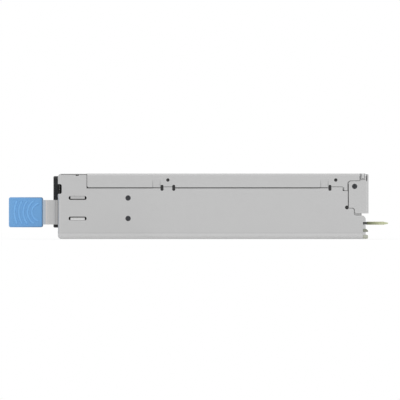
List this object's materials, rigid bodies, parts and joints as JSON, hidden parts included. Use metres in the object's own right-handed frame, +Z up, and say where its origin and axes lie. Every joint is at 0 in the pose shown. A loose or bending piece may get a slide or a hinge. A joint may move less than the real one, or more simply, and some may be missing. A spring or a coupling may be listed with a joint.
{
  "type": "hot swap server power supply",
  "caption": "Long low steel power supply with a blue strap handle, fan grille, upright mains inlet and side latch at one end and a gold card edge at the other.",
  "frame": {"origin": "centre of the steel case's bottom face", "axes": "+X from the handle end to the card edge, +Y towards the latch's wall, +Z up"},
  "size_m": [0.2261, 0.0753, 0.039],
  "materials": {
    "case_steel": "plain zinc plated sheet, matt",
    "strap_steel": "satin",
    "small_steel": "satin",
    "blue_plastic": "matt moulded",
    "black_plastic": "matt moulded",
    "nickel_brass": "nickel plated",
    "gold": "gold plated",
    "copper": "enamelled copper",
    "board_dark": "solder mask",
    "board_green": "solder mask",
    "ferrite": "sintered",
    "clear_plastic": "clear moulded",
    "guide_plastic": "matt moulded",
    "film": "thin film",
    "aluminium": "satin",
    "yellow_plastic": "matt",
    "blue_disc": "dipped",
    "can_sleeve": "shrunk sleeve",
    "white_plastic": "matt",
    "lead_rubber": "insulated wire"
  },
  "bodies": {
    "case": {"tray": "case_steel", "cover": "case_steel", "end_cap": "case_steel", "handle_strap": "strap_steel", "handle_grip": "blue_plastic", "handle_rivets": "small_steel", "inlet_housing": "black_plastic", "inlet_pins": "nickel_brass", "inlet_board": "board_green", "inlet_links": "copper", "fan_frame": "black_plastic", "fan_bearings": "small_steel", "fan_stator": "small_steel", "fan_coils": "copper", "fan_board": "board_green", "fan_bracket": "case_steel", "fan_header": "white_plastic", "fan_lead": "lead_rubber", "wall_screws": "small_steel", "end_cap_screws": "small_steel", "light_pipe": "clear_plastic", "latch_bracket": "case_steel", "latch_pin": "small_steel", "latch_spring": "small_steel", "main_board": "board_dark", "card_contacts": "gold", "board_posts": "small_steel", "board_screws": "small_steel", "insulating_film": "film", "connector_guide": "guide_plastic", "fuse": "white_plastic", "fuse_clips": "nickel_brass", "emi_choke": "copper", "x_capacitor": "yellow_plastic", "y_capacitors": "blue_disc", "relay": "black_plastic", "bridge_rectifier": "black_plastic", "bulk_capacitors": "can_sleeve", "capacitor_saddle": "black_plastic", "pfc_choke": "copper", "primary_heatsink": "aluminium", "primary_switches": "black_plastic", "resonant_choke": "ferrite", "transformer_core": "ferrite", "transformer_windings": "yellow_plastic", "standby_transformer": "ferrite", "control_board": "board_green", "control_chips": "black_plastic", "output_board": "board_green", "output_switches": "black_plastic", "output_bars": "copper", "output_capacitors": "can_sleeve"},
    "rotor": {"fan_rotor": "black_plastic", "fan_shaft": "small_steel", "fan_magnet": "ferrite"},
    "latch": {"latch_lever": "strap_steel", "latch_tab": "blue_plastic"}
  },
  "joints": [
    {"name": "fan_spin", "type": "hinge", "parent": "case", "child": "rotor", "pos_m": [-0.0767, -0.01675, 0.01915], "axis": [1, 0, 0], "continuous": true},
    {"name": "latch_pivot", "type": "hinge", "parent": "case", "child": "latch", "pos_m": [-0.0565, 0.0329, 0.016], "axis": [0, 0, 1], "range_deg": [0, 5.5], "stiffness_Nm_per_rad": 0.5, "springref_deg": -11.46, "deforming": ["latch_spring"]}
  ]
}
